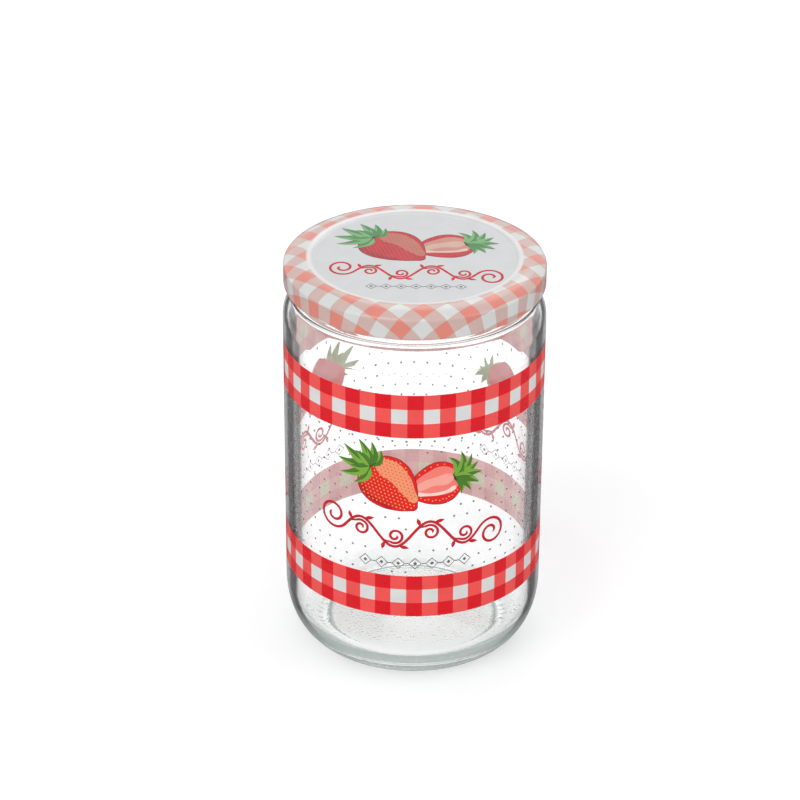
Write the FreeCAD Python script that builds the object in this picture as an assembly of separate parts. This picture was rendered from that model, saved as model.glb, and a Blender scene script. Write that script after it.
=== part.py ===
"""A round preserving jar of clear glass, closed by a twist-off lid of printed tinplate.

Millimetres. +Z is up and is the jar's axis, and Z = 0 is the surface that the jar stands on.
It is three pieces: the pressed glass, the stamped lid, and the soft seal that is cast into
the lid's channel and that the glass rim presses against.
"""
import FreeCAD, Part
import math
import os

V = FreeCAD.Vector
ORIGIN = V(0, 0, 0)
UP = V(0, 0, 1)
FULL_TURN = 360.0

# ---- glass, outside -------------------------------------------------------------------
body_radius = 43.0          # the straight wall that carries the print
body_top = 117.5            # where the straight wall ends and the shoulder starts
heel_reach = 12.0           # how far the rounded heel runs in under the wall
heel_height = 20.0          # how far the rounded heel runs up the wall
shoulder_radius = 10.0      # round of the shoulder
throat_step = 3.0           # how much narrower the throat is than the body
throat_round = 1.6          # hollow round at the throat
collar_reach = 2.1          # how much narrower the collar is than the body
collar_height = 2.4         # the ring under the lid that the mould grips
finish_step = 3.8           # how much narrower the threaded finish is than the body
finish_foot_round = 0.5     # hollow round where the finish stands on the collar
finish_wall = 3.5           # thickness of the finish, from its outside to the mouth
rim_round = 1.1             # round on both edges of the sealing rim

# ---- glass, inside --------------------------------------------------------------------
wall = 2.4                  # side wall
floor_thickness = 5.0       # glass over the standing ring
floor_rise = 2.2            # how far the floor bulges up in its middle
middle_spot = 4.0           # radius of the level spot there, and under it outside
inner_heel_reach = 10.0     # inside round between floor and wall: across
inner_heel_height = 13.0    # and up
inner_shoulder_drop = 1.5   # how far below the outer shoulder the inner one starts
inner_shoulder_radius = 9.0
mouth_round = 4.0           # swelling where the inner shoulder meets the mouth

# ---- glass, underside -----------------------------------------------------------------
standing_width = 1.6        # flat ring that the jar stands on
ring_round = 1.5            # round from that ring up into the hollow underside
hollow_round = 2.5          # and the hollow round that follows it
hollow_height = 2.4         # height of the hollow underside at its edge
pushup_height = 3.2         # and in its middle
knurl_count = 72            # short V grooves moulded across the standing ring
knurl_depth = 0.35
knurl_width = 1.1
knurl_land = 0.5            # width of the ring's inner edge that they leave whole
knurl_margin = 1.8          # how far they run past the ring's outer edge

# ---- glass, thread --------------------------------------------------------------------
thread_count = 6            # separate starts, and as many lugs on the lid
thread_reach = 1.3          # how far a thread stands out of the finish
thread_root = 2.2           # height of a thread at the wall
thread_crest = 1.0          # height of a thread at its outer edge
thread_pitch = 20.0         # rise in a full turn
thread_span = 46.0          # degrees that one thread covers
thread_sink = 0.5           # how deep a thread is rooted in the wall

# ---- lid ------------------------------------------------------------------------------
sheet = 0.3                 # tinplate with its lacquer
hem_radius = 0.9            # rolled hem at the skirt's foot
hem_turn = 255.0            # degrees that the hem is rolled
skirt_height = 9.15         # from the hem's foot to the crown
crown_inset = 0.5           # how far the crown's top lies outside the mouth
crown_flat = 0.9            # level width of the crown
crown_round = 11.0          # round from the crown out to the skirt
bend_radius = 1.2           # bend between crown and skirt
step_round = 6.0            # upper round of the slope from the crown in to the panel
step_hollow = 2.5           # lower round of that slope
step_angle = 20.0           # its steepest slope, in degrees
lug_height = 1.5
lug_foot = 0.1              # how far a lug's underside is above the hem's foot
lug_span = 11.0             # degrees that one lug covers
lug_lead = 2.0              # degrees from a thread's low end to the lug under it

# ---- seal -----------------------------------------------------------------------------
seal_thickness = 0.95       # of the cast seal, under the crown

# ---- fits -----------------------------------------------------------------------------
collar_to_hem = 0.5         # air between the collar and the hem
thread_to_hem = 0.25        # air between a thread's edge and the hem
lug_to_finish = 0.45        # air between a lug's tip and the finish
lug_to_thread = 0.2         # air between a lug and the thread above it
seal_margin = 0.8           # how far the seal reaches past the finish
seal_gap = 0.05             # film between the cast seal and the tinplate

# ---- radii that follow ----------------------------------------------------------------
inner_radius = body_radius - wall
standing_radius = body_radius - heel_reach
throat_radius = body_radius - throat_step
collar_radius = body_radius - collar_reach
finish_radius = body_radius - finish_step
mouth_radius = finish_radius - finish_wall
thread_radius = finish_radius + thread_reach
lid_radius = thread_radius + thread_to_hem + 2 * hem_radius
hem_centre_radius = lid_radius - hem_radius
crown_radius = mouth_radius + crown_inset
crown_inner_radius = crown_radius - crown_flat
lug_radius = finish_radius + lug_to_finish
seal_radius = finish_radius + seal_margin


def tangent_leg(first, second, distance):
    """The offset between two centres across the direction in which it is known."""
    return math.sqrt(distance ** 2 - (second - first) ** 2)


# ---- centres of rounds, as (radius, height), and the heights that follow --------------
shoulder_centre = (body_radius - shoulder_radius, body_top)
throat_x = throat_radius + throat_round
throat_centre = (throat_x, body_top + tangent_leg(
    shoulder_centre[0], throat_x, shoulder_radius + throat_round))
collar_round = collar_height / 2
collar_x = collar_radius - collar_round
collar_centre = (collar_x, throat_centre[1] + tangent_leg(
    throat_x, collar_x, throat_round + collar_round))
collar_top = collar_centre[1] + collar_round

hem_foot = collar_top + collar_to_hem
hem_centre = (hem_centre_radius, hem_foot + hem_radius)
crown_top = hem_foot + skirt_height
crown_centre = (crown_radius, crown_top - crown_round)
bend_x = lid_radius - bend_radius
bend_centre = (bend_x, crown_centre[1] + tangent_leg(
    crown_radius, bend_x, crown_round - bend_radius))
step_centre = (crown_inner_radius, crown_top - step_round)

rim_top = crown_top - sheet - seal_thickness
lug_bottom = hem_foot + lug_foot
lug_top = lug_bottom + lug_height
thread_low = lug_top + lug_to_thread + thread_root / 2

ring_centre = (standing_radius - standing_width, ring_round)
hollow_z = hollow_height - hollow_round
hollow_centre = (ring_centre[0] - tangent_leg(
    hollow_z, ring_round, ring_round + hollow_round), hollow_z)

inner_shoulder_centre = (inner_radius - inner_shoulder_radius,
                         body_top - inner_shoulder_drop)
mouth_x = mouth_radius + mouth_round
mouth_centre = (mouth_x, inner_shoulder_centre[1] + tangent_leg(
    inner_shoulder_centre[0], mouth_x, inner_shoulder_radius + mouth_round))


def at(point):
    """A profile point, given as (radius, height), in space."""
    return V(point[0], 0, point[1])


def on_circle(centre, radius, degrees):
    turn = math.radians(degrees)
    return (centre[0] + radius * math.cos(turn), centre[1] + radius * math.sin(turn))


def bearing(start, end):
    """The angle in degrees at which one profile point sees another."""
    return math.degrees(math.atan2(end[1] - start[1], end[0] - start[0]))


def bulge(edge, height):
    """Centre, radius and edge angle of the arc from an edge up to the level middle."""
    run = edge[0] - middle_spot
    rise = height - edge[1]
    radius = (run ** 2 + rise ** 2) / (2 * rise)
    centre = (middle_spot, height - radius)
    return centre, radius, bearing(centre, edge)


class Profile:
    """A closed outline beside the axis, drawn piece by piece as with a pen."""

    def __init__(self, start):
        self.start = start
        self.pen = start
        self.edges = []

    def line(self, end):
        if math.dist(self.pen, end) > 1e-6:
            self.edges.append(Part.LineSegment(at(self.pen), at(end)).toShape())
            self.pen = end
        return self

    def arc(self, centre, radius, begin, end):
        """A line to where the arc begins, and the arc to the angle where it ends."""
        self.line(on_circle(centre, radius, begin))
        middle = on_circle(centre, radius, (begin + end) / 2)
        last = on_circle(centre, radius, end)
        self.edges.append(Part.Arc(at(self.pen), at(middle), at(last)).toShape())
        self.pen = last
        return self

    def ellipse(self, centre, end):
        """A quarter of an upright ellipse about a centre, from the pen to its end."""
        ends = sorted((self.pen, end), key=lambda point: -math.dist(point, centre))
        curve = Part.Ellipse(at(ends[0]), at(ends[1]), at(centre))
        self.edges.append(Part.ArcOfEllipse(curve, 0, math.pi / 2).toShape())
        self.pen = end
        return self

    def turned(self, degrees=FULL_TURN):
        """The solid that the closed outline makes when it turns about the axis."""
        self.line(self.start)
        return Part.Face(Part.Wire(self.edges)).revolve(ORIGIN, UP, degrees)


def repeated(shape, count):
    """Copies of a shape at equal steps about the axis."""
    copies = []
    for number in range(count):
        copy = shape.copy()
        copy.rotate(ORIGIN, UP, number * FULL_TURN / count)
        copies.append(copy)
    return copies


def glass_blank():
    """The jar as turned: outside from the base up, over the rim, and down inside."""
    shoulder_end = bearing(shoulder_centre, throat_centre)
    collar_begin = bearing(throat_centre, collar_centre)
    inner_end = bearing(inner_shoulder_centre, mouth_centre)
    ring_end = bearing(hollow_centre, ring_centre)
    outline = Profile((hollow_centre[0], hollow_height))
    outline.arc(hollow_centre, hollow_round, 90.0, ring_end)
    outline.arc(ring_centre, ring_round, ring_end + 180.0, 270.0)
    outline.line((standing_radius, 0.0))
    outline.ellipse((standing_radius, heel_height), (body_radius, heel_height))
    outline.arc(shoulder_centre, shoulder_radius, 0.0, shoulder_end)
    outline.arc(throat_centre, throat_round, shoulder_end + 180.0, collar_begin)
    outline.arc(collar_centre, collar_round, collar_begin - 180.0, 90.0)
    foot = (finish_radius + finish_foot_round, collar_top + finish_foot_round)
    outline.arc(foot, finish_foot_round, 270.0, 180.0)
    rim_z = rim_top - rim_round
    outline.arc((finish_radius - rim_round, rim_z), rim_round, 0.0, 90.0)
    outline.arc((mouth_radius + rim_round, rim_z), rim_round, 90.0, 180.0)
    outline.arc(mouth_centre, mouth_round, 180.0, 180.0 + inner_end)
    outline.arc(inner_shoulder_centre, inner_shoulder_radius, inner_end, 0.0)
    inner_heel = (inner_radius - inner_heel_reach, floor_thickness + inner_heel_height)
    outline.line((inner_radius, inner_heel[1]))
    outline.ellipse(inner_heel, (inner_heel[0], floor_thickness))
    centre, radius, edge = bulge(outline.pen, floor_thickness + floor_rise)
    outline.arc(centre, radius, edge, 90.0)
    outline.line((0.0, floor_thickness + floor_rise))
    outline.line((0.0, pushup_height))
    centre, radius, edge = bulge(outline.start, pushup_height)
    outline.arc(centre, radius, 90.0, edge)
    return outline.turned()


def thread():
    """One thread start: a trapezoid swept up a stretch of helix, rooted in the wall."""
    rise = thread_pitch * thread_span / FULL_TURN
    spine = Part.makeHelix(thread_pitch, rise, finish_radius)
    root = finish_radius - thread_sink
    corners = [V(root, 0, -thread_root / 2), V(thread_radius, 0, -thread_crest / 2),
               V(thread_radius, 0, thread_crest / 2), V(root, 0, thread_root / 2)]
    section = Part.makePolygon(corners + corners[:1])
    ridge = Part.Wire(spine).makePipeShell([section], True, True)
    ridge.translate(V(0, 0, thread_low))
    return ridge


def knurl_groove():
    """One short radial V groove in the standing ring, as the tool that cuts it."""
    inner = standing_radius - standing_width + knurl_land
    length = standing_radius + knurl_margin - inner
    corners = [V(inner, 0, knurl_depth), V(inner, -knurl_width, -knurl_depth),
               V(inner, knurl_width, -knurl_depth)]
    section = Part.Face(Part.makePolygon(corners + corners[:1]))
    groove = section.extrude(V(length, 0, 0))
    groove.rotate(ORIGIN, UP, FULL_TURN / knurl_count / 2)
    return groove


def glass_jar():
    jar = glass_blank()
    jar = jar.fuse(repeated(thread(), thread_count))
    return jar.cut(repeated(knurl_groove(), knurl_count))


def lid_shell():
    """The stamped lid: panel, slope, crown, skirt and rolled hem, then back inside."""
    crown_end = bearing(crown_centre, bend_centre)
    slope_end = 90.0 + step_angle
    foot_centre = on_circle(step_centre, step_round + step_hollow, slope_end)
    foot_end = slope_end + 180.0
    panel_top = foot_centre[1] - step_hollow
    outline = Profile((0.0, panel_top))
    outline.arc(foot_centre, step_hollow, 270.0, foot_end)
    outline.arc(step_centre, step_round, slope_end, 90.0)
    outline.arc(crown_centre, crown_round, 90.0, crown_end)
    outline.arc(bend_centre, bend_radius, crown_end, 0.0)
    outline.arc(hem_centre, hem_radius, 0.0, -hem_turn)
    outline.arc(hem_centre, hem_radius - sheet, -hem_turn, 0.0)
    outline.arc(bend_centre, bend_radius - sheet, 0.0, crown_end)
    outline.arc(crown_centre, crown_round - sheet, crown_end, 90.0)
    outline.arc(step_centre, step_round - sheet, 90.0, slope_end)
    outline.arc(foot_centre, step_hollow + sheet, foot_end, 270.0)
    outline.line((0.0, panel_top - sheet))
    return outline.turned()


def lug():
    """One lug pressed in from the hem, which hooks under a thread."""
    outline = Profile((lug_radius, lug_bottom))
    outline.line((hem_centre_radius, lug_bottom))
    outline.line((hem_centre_radius, lug_top))
    outline.line((lug_radius, lug_top))
    hook = outline.turned(lug_span)
    hook.rotate(ORIGIN, UP, lug_lead)
    return hook


def lid():
    return lid_shell().fuse(repeated(lug(), thread_count))


def lid_seal():
    """The ring of soft compound that fills the lid's channel down to the glass rim."""
    arc_radius = crown_round - sheet - seal_gap
    drop = seal_radius - crown_radius
    edge = math.degrees(math.acos(drop / arc_radius))
    outline = Profile((crown_inner_radius, rim_top))
    outline.line((seal_radius, rim_top))
    outline.arc(crown_centre, arc_radius, edge, 90.0)
    outline.line((crown_inner_radius, crown_centre[1] + arc_radius))
    return outline.turned()


def main():
    os.makedirs("parts", exist_ok=True)
    pieces = {"glass_jar": glass_jar(), "lid": lid(), "lid_seal": lid_seal()}
    for name, shape in pieces.items():
        solids = shape.Solids
        print(name, len(solids), "solid,", round(shape.Volume / 1000.0, 2), "cm3,",
              "valid" if shape.isValid() else "not valid", shape.BoundBox)
        whole = solids[0] if len(solids) == 1 else shape
        whole.exportStep("parts/" + name + ".step")


main()
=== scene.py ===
# %% [markdown]
# # A printed preserving jar
#
# The jar is pressed from clear glass, printed on the outside with two gingham bands,
# rows of dots and a pair of strawberries, and closed by a stamped tinplate lid. This
# lesson models it piece by piece: first the turned shapes, then the inks, then the
# materials, and last the table top, the lamps and the camera.
#
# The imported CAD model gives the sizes. It is loaded first, so that every new piece can
# be measured against it.

# %% Load the frame
import math
import bpy
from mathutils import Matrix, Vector


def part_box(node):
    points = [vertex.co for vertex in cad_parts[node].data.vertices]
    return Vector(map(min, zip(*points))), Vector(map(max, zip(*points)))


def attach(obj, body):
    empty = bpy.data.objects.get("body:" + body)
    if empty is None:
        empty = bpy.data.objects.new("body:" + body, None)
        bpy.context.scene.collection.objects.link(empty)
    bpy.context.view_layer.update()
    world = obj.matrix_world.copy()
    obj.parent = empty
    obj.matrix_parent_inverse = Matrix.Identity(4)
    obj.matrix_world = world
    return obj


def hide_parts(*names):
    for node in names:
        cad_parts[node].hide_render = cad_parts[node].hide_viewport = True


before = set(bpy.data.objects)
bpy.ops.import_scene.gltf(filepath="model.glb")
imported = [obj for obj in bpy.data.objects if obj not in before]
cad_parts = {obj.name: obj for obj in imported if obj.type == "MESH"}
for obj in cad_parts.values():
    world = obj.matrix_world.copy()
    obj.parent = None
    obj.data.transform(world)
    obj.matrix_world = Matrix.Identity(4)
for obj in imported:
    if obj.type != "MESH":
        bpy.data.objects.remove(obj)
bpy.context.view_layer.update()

# %% [markdown]
# ## Sizes
#
# Outlines are easiest to read in millimetres, so they are written that way and turned
# into metres in one place, where the mesh is made. The print lies on the glass, so the
# glass is thinner than the CAD body by the depth of the print, and the whole thing
# keeps the CAD size.

# %% Sizes taken from the frame
MM = 0.001
FULL_TURN = 2 * math.pi

glass_low, glass_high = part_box("glass_jar")
lid_low, lid_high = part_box("lid")
seal_low, seal_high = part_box("lid_seal")

body_radius = glass_high.x / MM
rim_top = glass_high.z / MM
lid_radius = lid_high.x / MM
hem_foot = lid_low.z / MM
crown_top = lid_high.z / MM
print("body radius", round(body_radius, 2), "lid radius", round(lid_radius, 2),
      "rim", round(rim_top, 2), "lid from", round(hem_foot, 2), "to", round(crown_top, 2))
print("heights: glass", round((glass_high.z - glass_low.z) / MM, 2), "seal",
      round((seal_high.z - seal_low.z) / MM, 2), "mm")

# %% [markdown]
# ## Turning a shape on the axis
#
# A jar and a lid are both round, so one way of working serves both: draw half of the
# section as a chain of points, then spin it about the axis. By hand that is a single
# vertex, extruded again and again, and the Spin tool. The helpers below do the same.
# Rounds come from `arc`, so an outline is a list of arcs and the lines between them.
#
# A straight wall beside a round needs a ring of points close to each of its ends.
# Without them the smooth shading of the round bleeds into the whole wall, and on glass
# that shows as a warped reflection.

# %% Arcs and walls of an outline
SEGMENTS = 288              # faces round the axis; a multiple of the base's 72 grooves
GUARD = 0.4                 # how far inside a straight wall its guard rings lie, mm


def arc(centre, radius, begin, end, steps, stretch=1.0):
    """Points on an arc, angles in degrees; stretch makes it an upright ellipse."""
    points = []
    for step in range(steps + 1):
        turn = math.radians(begin + (end - begin) * step / steps)
        points.append((centre[0] + radius * math.cos(turn),
                       centre[1] + radius * stretch * math.sin(turn)))
    return points


def wall(start, end):
    """The two guard points of a straight wall."""
    along = Vector(end) - Vector(start)
    step = along.normalized() * min(GUARD, along.length / 3)
    return [tuple(Vector(start) + step), tuple(Vector(end) - step)]


def bearing(start, end):
    return math.degrees(math.atan2(end[1] - start[1], end[0] - start[0]))


def leg(first, second, distance):
    """The unknown offset between two centres whose other offset is known."""
    return math.sqrt(distance ** 2 - (second - first) ** 2)


# %% [markdown]
# ## Working by operator
#
# Each tool below is the one behind a menu entry or a key in Blender. Operators act on
# whatever is selected and active, so a helper that runs one first clears the selection
# and picks its own piece. The lathe is built from them.

# %% Selection helpers
SMOOTH_BELOW = 35.0         # edges that bend by less than this are shaded smooth, degrees
WELD = 0.0005               # points that lie nearer than this are one point, mm


def start_clean():
    """Leaves edit mode and deselects everything, because operators act on all of it."""
    if bpy.context.object and bpy.context.object.mode != "OBJECT":
        bpy.ops.object.mode_set(mode="OBJECT")
    bpy.ops.object.select_all(action="DESELECT")


def add(name, operator, **settings):
    """Runs an Add operator with nothing selected, and names what it makes."""
    start_clean()
    operator(**settings)
    piece = bpy.context.object
    piece.name = name
    return piece


def make_active(piece):
    start_clean()
    piece.select_set(True)
    bpy.context.view_layer.objects.active = piece


def edit(piece):
    """Opens a piece for editing with all of it selected."""
    make_active(piece)
    bpy.ops.object.mode_set(mode="EDIT")
    bpy.ops.mesh.select_all(action="SELECT")


def close_edit():
    bpy.ops.object.mode_set(mode="OBJECT")


def tidy_shell(piece):
    """Welds doubled points and turns all faces outwards."""
    edit(piece)
    bpy.ops.mesh.remove_doubles(threshold=WELD * MM)
    bpy.ops.mesh.normals_make_consistent(inside=False)
    close_edit()


def smooth(piece):
    make_active(piece)
    bpy.ops.object.shade_smooth_by_angle(angle=math.radians(SMOOTH_BELOW))


def modify(piece, kind, **settings):
    """Gives a piece a modifier with these settings, and applies it."""
    make_active(piece)
    modifier = piece.modifiers.new(kind.lower(), kind)
    for name, value in settings.items():
        setattr(modifier, name, value)
    bpy.ops.object.modifier_apply(modifier=modifier.name)


def dress(piece, *materials):
    """Gives a piece these materials in place of those it has."""
    piece.data.materials.clear()
    for material in materials:
        piece.data.materials.append(material)


def tell(piece):
    print(piece.name, len(piece.data.polygons), "faces")


# %% The lathe
def lathe(name, outline):
    """One vertex, extruded along the outline and spun once round the axis."""
    piece = add(name, bpy.ops.mesh.primitive_plane_add, size=MM)
    bpy.ops.object.mode_set(mode="EDIT")
    bpy.ops.mesh.merge(type="CENTER")
    first = Vector((outline[0][0], 0, outline[0][1])) * MM
    bpy.ops.transform.translate(value=first)
    here = first
    for radius, height in outline[1:]:
        there = Vector((radius, 0, height)) * MM
        bpy.ops.mesh.extrude_vertices_move(TRANSFORM_OT_translate={"value": there - here})
        here = there
    bpy.ops.mesh.select_all(action="SELECT")
    bpy.ops.mesh.spin(steps=SEGMENTS, angle=FULL_TURN, center=(0, 0, 0), axis=(0, 0, 1))
    close_edit()
    tidy_shell(piece)
    smooth(piece)
    tell(piece)
    return piece


# %% [markdown]
# ## The glass
#
# The outside runs from the hollow underside over the standing ring, up a long soft
# heel, the straight wall, the shoulder, a narrow throat, the collar under the lid and
# the finish that the lid grips. The inside follows it at the wall's thickness, with a
# heavier floor. Glass bends what is seen through it by its thickness as much as by its
# outside, so both sides matter, and the shell has to be closed.

# %% Sizes of the glass, mm
print_depth = 0.12          # room for the ink on the glass, all layers
body_top = 117.5
heel_reach, heel_height = 12.0, 20.0
shoulder_radius, throat_radius, throat_round = 10.0, 40.0, 1.6
collar_radius, collar_round = 40.9, 1.2
finish_radius, finish_wall, rim_round = 39.2, 3.5, 1.1
wall_thickness, floor_thickness, floor_rise = 2.4, 5.0, 2.2
inner_heel_reach, inner_heel_height = 10.0, 13.0
inner_shoulder_radius, inner_shoulder_drop, mouth_round = 9.0, 1.5, 4.0
ring_width, ring_round, ring_flat, hollow_round = 1.6, 1.5, 1.1, 2.5
hollow_height, pushup_height, middle_spot = 2.4, 3.2, 4.0

glass_radius = body_radius - print_depth
inner_radius = body_radius - wall_thickness
mouth_radius = finish_radius - finish_wall
ring_radius = body_radius - heel_reach
print("radius of the glass", round(glass_radius, 2), "inside", round(inner_radius, 2),
      "mouth", round(mouth_radius, 2), "mm")


# %% Outline of the glass
def bulge(edge, height, steps):
    """A shallow dome from its edge up to the level spot in the middle."""
    run, rise = edge[0] - middle_spot, height - edge[1]
    radius = (run ** 2 + rise ** 2) / (2 * rise)
    centre = (middle_spot, height - radius)
    return arc(centre, radius, bearing(centre, edge), 90.0, steps)


def glass_outline():
    """The section of the glass: underside, outside, rim, inside and floor."""
    ring_centre = (ring_radius - ring_width, ring_round)
    hollow_z = hollow_height - hollow_round
    reach = leg(hollow_z, ring_round, ring_round + hollow_round)
    hollow_centre = (ring_centre[0] - reach, hollow_z)
    ring_end = bearing(hollow_centre, ring_centre)
    shoulder = (glass_radius - shoulder_radius, body_top)
    throat_x = throat_radius + throat_round
    throat = (throat_x, body_top + leg(
        shoulder[0], throat_x, shoulder_radius + throat_round))
    collar_x = collar_radius - collar_round
    collar = (collar_x, throat[1] + leg(
        throat_x, collar_x, throat_round + collar_round))
    collar_top = collar[1] + collar_round
    foot_round = 0.5
    foot = (finish_radius + foot_round, collar_top + foot_round)
    rim_z = rim_top - rim_round
    inner_shoulder = (inner_radius - inner_shoulder_radius,
                      body_top - inner_shoulder_drop)
    mouth_x = mouth_radius + mouth_round
    mouth = (mouth_x, inner_shoulder[1] + leg(
        inner_shoulder[0], mouth_x, inner_shoulder_radius + mouth_round))
    inner_heel = (inner_radius - inner_heel_reach, floor_thickness + inner_heel_height)

    points = [(0.0, pushup_height)]
    points += bulge((hollow_centre[0], hollow_height), pushup_height, 6)[::-1]
    points += arc(hollow_centre, hollow_round, 90.0, ring_end, 5)[1:]
    points += arc(ring_centre, ring_round, ring_end + 180.0, 270.0, 5)[1:]
    points += [(ring_radius - ring_flat, 0.0)]
    heel_stretch = heel_height / (glass_radius - ring_radius)
    points += arc((ring_radius, heel_height), glass_radius - ring_radius,
                  -90.0, 0.0, 22, heel_stretch)
    points += wall((glass_radius, heel_height), (glass_radius, body_top))
    shoulder_end = bearing(shoulder, throat)
    points += arc(shoulder, shoulder_radius, 0.0, shoulder_end, 14)
    collar_begin = bearing(throat, collar)
    points += arc(throat, throat_round, shoulder_end + 180.0, collar_begin, 8)[1:]
    points += arc(collar, collar_round, collar_begin - 180.0, 90.0, 12)[1:]
    points += arc(foot, foot_round, 270.0, 180.0, 4)
    points += wall((finish_radius, foot[1]), (finish_radius, rim_z))
    points += arc((finish_radius - rim_round, rim_z), rim_round, 0.0, 90.0, 6)
    points += arc((mouth_radius + rim_round, rim_z), rim_round, 90.0, 180.0, 6)
    points += wall((mouth_radius, rim_z), (mouth_radius, mouth[1]))
    inner_end = bearing(inner_shoulder, mouth)
    points += arc(mouth, mouth_round, 180.0, 180.0 + inner_end, 10)
    points += arc(inner_shoulder, inner_shoulder_radius, inner_end, 0.0, 12)[1:]
    points += wall((inner_radius, inner_shoulder[1]), (inner_radius, inner_heel[1]))
    inner_stretch = inner_heel_height / inner_heel_reach
    points += arc(inner_heel, inner_heel_reach, 0.0, -90.0, 18, inner_stretch)
    floor_top = floor_thickness + floor_rise
    points += bulge((inner_heel[0], floor_thickness), floor_top, 6)[1:]
    points += [(0.0, floor_top)]
    return points, collar_top


outline, collar_top = glass_outline()
jar = lathe("jar_glass", outline)

# %% [markdown]
# ## Grip marks under the base
#
# Moulds press a ring of short grooves into the standing ring, so that the hot jar does
# not stick or skid on the belt. The lathe left four faces for each groove. Lifting every
# fourth row of points across the ring folds those faces into a V, which costs no
# geometry at all.

# %% Grooves in the standing ring
GROOVES = 72
groove_depth, groove_land, groove_run = 0.35, 0.5, 1.8


def press_grooves(piece):
    inner = ring_radius - ring_width + groove_land
    outer = ring_radius + groove_run
    per_groove = SEGMENTS // GROOVES
    edit(piece)
    bpy.ops.mesh.select_all(action="DESELECT")
    close_edit()
    count = 0
    for point in piece.data.vertices:
        x, y, z = point.co / MM
        row = round(math.atan2(y, x) / FULL_TURN * SEGMENTS) % per_groove
        radius = math.hypot(x, y)
        on_groove = row == per_groove // 2 and inner < radius < outer
        if on_groove and z < groove_depth:
            point.select = True
            count += 1
    bpy.ops.object.mode_set(mode="EDIT")
    bpy.ops.transform.resize(value=(1, 1, 0), center_override=(0, 0, groove_depth * MM))
    close_edit()
    print("groove points lifted:", count)


press_grooves(jar)

# %% [markdown]
# ## Bending flat work round the jar
#
# The screw threads, the lugs and all the print are easiest to draw flat and then bent
# round the axis, as a label is. In a flat drawing x runs along the wall, y is the height
# and z stands out of the wall. `wrap` sends such a drawing round the axis at a given
# radius, starting from the middle of the front, and can make it climb as it goes.
#
# A flat face that is wide would cut through the glass once its corners are bent, so the
# drawing is first cut into narrow upright strips.

# %% Cut and wrap
STRIP = 1.2                 # width of one strip, mm


def cut_in_strips(piece):
    """Cuts a flat drawing at even steps along x."""
    reach = max(abs(corner[0]) for corner in piece.bound_box) / MM
    edit(piece)
    bpy.ops.mesh.quads_convert_to_tris()
    count = int(reach / STRIP)
    for number in range(-count, count + 1):
        bpy.ops.mesh.select_all(action="SELECT")
        bpy.ops.mesh.bisect(plane_co=(number * STRIP * MM, 0, 0), plane_no=(1, 0, 0))
    close_edit()


def wrap(piece, radius, turn, climb):
    """Bends a flat drawing round the axis; turn in degrees, climb in mm for a turn."""
    for point in piece.data.vertices:
        along, height, out = point.co
        angle = along / (radius * MM) + math.radians(turn)
        distance = radius * MM + out
        rise = climb * MM * (along / (radius * MM)) / FULL_TURN
        point.co = (distance * math.sin(angle), -distance * math.cos(angle),
                    height + rise)
    piece.data.update()


def copy_of(piece, name):
    """A copy with a mesh of its own."""
    twin = piece.copy()
    twin.data = piece.data.copy()
    twin.name = name
    bpy.context.collection.objects.link(twin)
    return twin


def join(pieces, name):
    """Joins pieces into the first one."""
    start_clean()
    for piece in pieces:
        piece.select_set(True)
    bpy.context.view_layer.objects.active = pieces[0]
    if len(pieces) > 1:
        bpy.ops.object.join()
    pieces[0].name = name
    return pieces[0]


def set_round(model, name, count, radius, first=0.0, climb=0.0):
    """Wraps copies of a flat model at even turns round the axis and joins them."""
    copies = []
    for number in range(count):
        copy = copy_of(model, f"{name}_{number}")
        wrap(copy, radius, first + number * 360.0 / count, climb)
        copies.append(copy)
    bpy.data.objects.remove(model)
    return join(copies, name)


# %% [markdown]
# ## Threads and lugs
#
# A twist-off lid does not screw on a full thread: six short ridges on the glass each
# catch one lug of the lid. A ridge starts as a cube, stretched to its length, with its
# outer side narrowed to a crest, and is wrapped with a climb. A Boolean modifier then
# welds the ridges to the finish, because two overlapping glass shells would show a
# false surface where they cross.

# %% Thread ridges
STARTS = 6
thread_reach, thread_sink = 1.3, 0.5
thread_root, thread_crest = 2.2, 1.0
thread_pitch, thread_span = 20.0, 46.0
lug_height, lug_foot, lug_span, lug_lead = 1.5, 0.1, 11.0, 2.0
lug_gap, lug_clearance, lug_rounding = 0.45, 0.2, 0.25
hem_radius = 0.9
first_thread = 90.0         # where the first ridge starts, degrees from the front


def block(name, size, place):
    """A cube stretched to a size, with its middle at a place, both in mm."""
    piece = add(name, bpy.ops.mesh.primitive_cube_add, size=MM)
    edit(piece)
    bpy.ops.transform.resize(value=size)
    bpy.ops.transform.translate(value=Vector(place) * MM)
    close_edit()
    return piece


def narrow_outside(piece, share):
    """Narrows the outer side of a flat block, which makes a ridge with a crest."""
    top = max(point.co.z for point in piece.data.vertices)
    middle = sum(point.co.y for point in piece.data.vertices) / len(piece.data.vertices)
    make_active(piece)
    for point in piece.data.vertices:
        point.select = abs(point.co.z - top) < 0.01 * MM
    for edge in piece.data.edges:
        edge.select = all(piece.data.vertices[i].select for i in edge.vertices)
    for face in piece.data.polygons:
        face.select = all(piece.data.vertices[i].select for i in face.vertices)
    bpy.ops.object.mode_set(mode="EDIT")
    bpy.ops.transform.resize(value=(1, share, 1), center_override=(0, middle, top))
    close_edit()


lug_top = hem_foot + lug_foot + lug_height
thread_low = lug_top + lug_clearance + thread_root / 2
run = finish_radius * math.radians(thread_span)
ridge = block("ridge", (run, thread_root, thread_reach + thread_sink),
              (run / 2, thread_low, (thread_reach - thread_sink) / 2))
narrow_outside(ridge, thread_crest / thread_root)
cut_in_strips(ridge)
ridges = set_round(ridge, "ridges", STARTS, finish_radius, first_thread,
                   thread_pitch)
tidy_shell(ridges)
modify(jar, "BOOLEAN", operation="UNION", object=ridges)
bpy.data.objects.remove(ridges)
smooth(jar)
tell(jar)

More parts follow.
